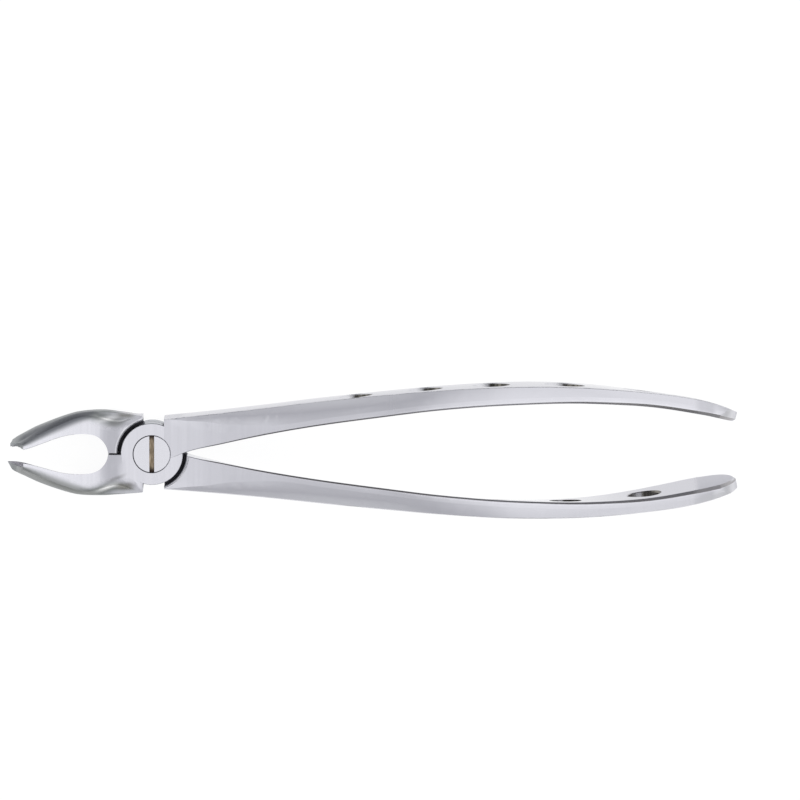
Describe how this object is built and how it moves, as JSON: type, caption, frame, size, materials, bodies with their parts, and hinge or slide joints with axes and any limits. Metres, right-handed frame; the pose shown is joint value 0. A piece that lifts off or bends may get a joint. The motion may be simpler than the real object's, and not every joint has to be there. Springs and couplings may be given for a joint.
{
  "type": "extraction forceps",
  "caption": "Steel extraction forceps with crossed handles pierced by round holes, a slotted pivot screw and serrated gouge beaks bent towards the screw side.",
  "frame": {"origin": "on the pivot axis, in the flat back face of the joint", "axes": "+X from the pivot to the handle ends, +Z along the pivot axis towards the slotted screw head, +Y towards the front half's handle"},
  "size_m": [0.1786, 0.0326, 0.0304],
  "materials": {
    "front_half_steel": "satin, polished on the handle's outer face",
    "rear_half_steel": "satin, polished on the handle's outer face",
    "screw_steel": "satin"
  },
  "bodies": {
    "rear_body": {"rear_half": "rear_half_steel", "pivot_screw": "screw_steel"},
    "front_body": {"front_half": "front_half_steel"}
  },
  "joints": [
    {"name": "pivot", "type": "hinge", "parent": "rear_body", "child": "front_body", "pos_m": [0, 0, 0.005], "axis": [0, 0, 1], "range_deg": [0, 28]}
  ]
}
